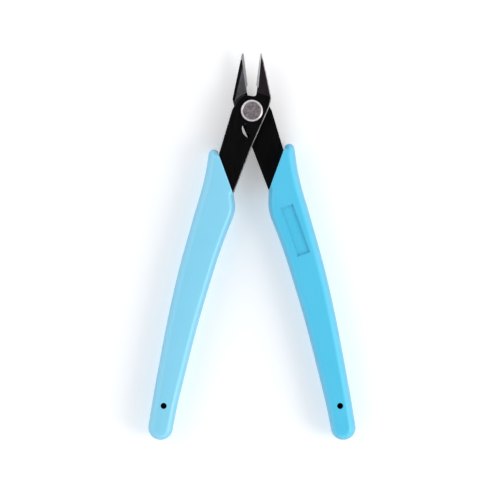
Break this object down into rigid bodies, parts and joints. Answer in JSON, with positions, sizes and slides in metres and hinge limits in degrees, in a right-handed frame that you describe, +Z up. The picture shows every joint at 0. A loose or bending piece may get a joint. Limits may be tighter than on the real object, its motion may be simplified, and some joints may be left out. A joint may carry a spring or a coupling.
{
  "type": "flush cutter",
  "caption": "Slim shear-type flush cutter with lapped black steel blades on a rivet, a hidden wire return spring and light blue moulded grips.",
  "frame": {"origin": "on the bench, below the middle of the open tool's outline; the rivet's axis stands 44.5 mm towards the jaws from it, and the lap plane 5 mm above it", "axes": "+Y along the tool from the handles to the jaws, +Z up off the bench, +X towards the right handle seen from above"},
  "size_m": [0.068, 0.127, 0.01],
  "materials": {
    "black_steel": "black oxide, satin",
    "rivet_steel": "turned and tumbled, satin",
    "spring_wire": "drawn wire, satin",
    "grip_plastic": "soft moulded vinyl, matte"
  },
  "bodies": {
    "front_lever": {"front_blade_half": "black_steel", "left_grip": "grip_plastic", "pivot_rivet": "rivet_steel", "rivet_burr": "rivet_steel", "return_spring": "spring_wire"},
    "rear_lever": {"rear_blade_half": "black_steel", "right_grip": "grip_plastic"}
  },
  "joints": [
    {"name": "pivot_hinge", "type": "hinge", "parent": "front_lever", "child": "rear_lever", "pos_m": [0, 0.04449, 0.005], "axis": [0, 0, -1], "range_deg": [0, 18.4], "stiffness_Nm_per_rad": 0.95, "springref_deg": -5.73, "deforming": ["return_spring"]}
  ]
}
